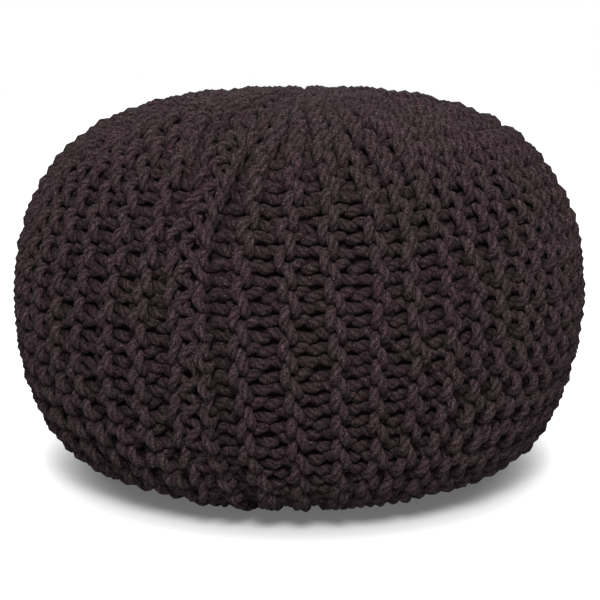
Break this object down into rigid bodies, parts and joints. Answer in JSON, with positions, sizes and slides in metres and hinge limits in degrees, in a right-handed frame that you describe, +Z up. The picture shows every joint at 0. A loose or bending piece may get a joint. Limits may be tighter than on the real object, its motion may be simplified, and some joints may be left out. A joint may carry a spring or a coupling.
{
  "type": "knitted pouf",
  "caption": "Round padded pouf in a thick-yarn garter-stitch knitted cover with meridional ribs, gathered to a small dimple in the middle of its crown, standing on a flat base.",
  "frame": {"origin": "middle of the flat base, on the surface the pouf stands on", "axes": "+Z up through the gathered crown, the front of the pouf faces -Y and +X is to its right"},
  "size_m": [0.5036, 0.5031, 0.335],
  "materials": {
    "knit_cover": "matt thick plied yarn, dark charcoal brown with a mauve cast"
  },
  "bodies": {
    "root": {"knitted_pouf": "knit_cover"}
  },
  "joints": []
}
